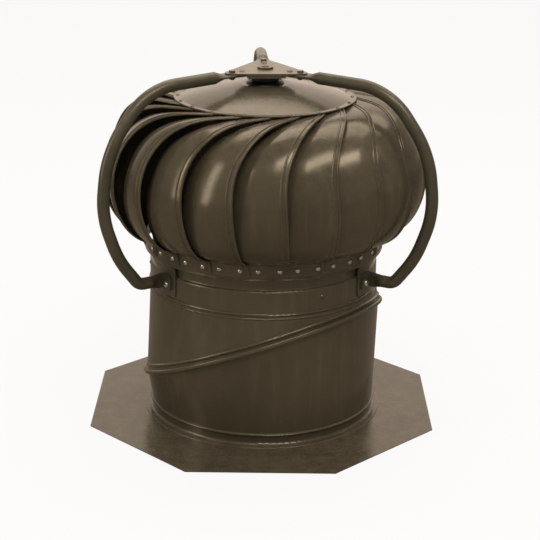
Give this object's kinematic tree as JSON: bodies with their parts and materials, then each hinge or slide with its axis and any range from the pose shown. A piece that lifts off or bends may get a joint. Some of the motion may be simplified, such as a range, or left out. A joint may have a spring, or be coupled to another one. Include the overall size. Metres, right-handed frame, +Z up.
{
  "type": "roof turbine ventilator",
  "caption": "Wind-driven roof turbine ventilator with curved vanes, outside brace arms, a swivelling two-part duct throat and an octagonal roof flashing.",
  "frame": {"origin": "centre of the duct opening in the underside of the flashing", "axes": "+Z up along the duct and the rotor's axis, -Y towards the front, +X to the right"},
  "size_m": [0.4572, 0.475, 0.4713],
  "materials": {
    "bronze_paint": "semi-gloss dark bronze paint on sheet metal",
    "bright_zinc": "bright drawn rivets and plated screws",
    "black_moulding": "satin black moulding",
    "bearing_bronze": "sintered bronze",
    "plain_steel": "turned and zinc plated steel",
    "white_washer": "low friction plastic",
    "nut_metal": "plated knurled nut"
  },
  "bodies": {
    "base": {"flashing_plate": "bronze_paint", "lower_elbow": "bronze_paint"},
    "upper": {"upper_elbow": "bronze_paint", "throat_collar": "bronze_paint", "foot_plate_left": "bronze_paint", "foot_plate_right": "bronze_paint", "foot_plate_rear": "bronze_paint", "brace_arm_left": "bronze_paint", "brace_arm_right": "bronze_paint", "brace_arm_rear": "bronze_paint", "foot_screws": "bright_zinc", "foot_nuts": "bright_zinc", "top_bracket": "bronze_paint", "arm_rivets": "bronze_paint", "bracket_screws": "bronze_paint", "bracket_nuts": "bright_zinc", "bearing_housing": "black_moulding", "upper_bush": "bearing_bronze", "centre_nut": "nut_metal", "lower_spider": "plain_steel", "spider_rivets": "bronze_paint", "lower_bush": "bearing_bronze", "thrust_washer": "white_washer"},
    "rotor": {"shaft": "plain_steel", "retaining_ring": "plain_steel", "shaft_collar": "plain_steel", "collar_screw": "bright_zinc", "rotor_hub": "plain_steel", "hub_rivets": "bronze_paint", "hub_slinger": "black_moulding", "crown_cap": "bronze_paint", "crown_rivets": "bronze_paint", "lower_ring": "bronze_paint", "foot_rivets": "bright_zinc", "vane_01": "bronze_paint", "vane_02": "bronze_paint", "vane_03": "bronze_paint", "vane_04": "bronze_paint", "vane_05": "bronze_paint", "vane_06": "bronze_paint", "vane_07": "bronze_paint", "vane_08": "bronze_paint", "vane_09": "bronze_paint", "vane_10": "bronze_paint", "vane_11": "bronze_paint", "vane_12": "bronze_paint", "vane_13": "bronze_paint", "vane_14": "bronze_paint", "vane_15": "bronze_paint", "vane_16": "bronze_paint", "vane_17": "bronze_paint", "vane_18": "bronze_paint", "vane_19": "bronze_paint", "vane_20": "bronze_paint"}
  },
  "joints": [
    {"name": "pitch_swivel", "type": "hinge", "parent": "base", "child": "upper", "pos_m": [0, 0, 0.101], "axis": [-0.3016, 0.2356, 0.9239], "continuous": true},
    {"name": "turbine_spin", "type": "hinge", "parent": "upper", "child": "rotor", "pos_m": [0, 0, 0.3], "axis": [0, 0, 1], "continuous": true}
  ]
}
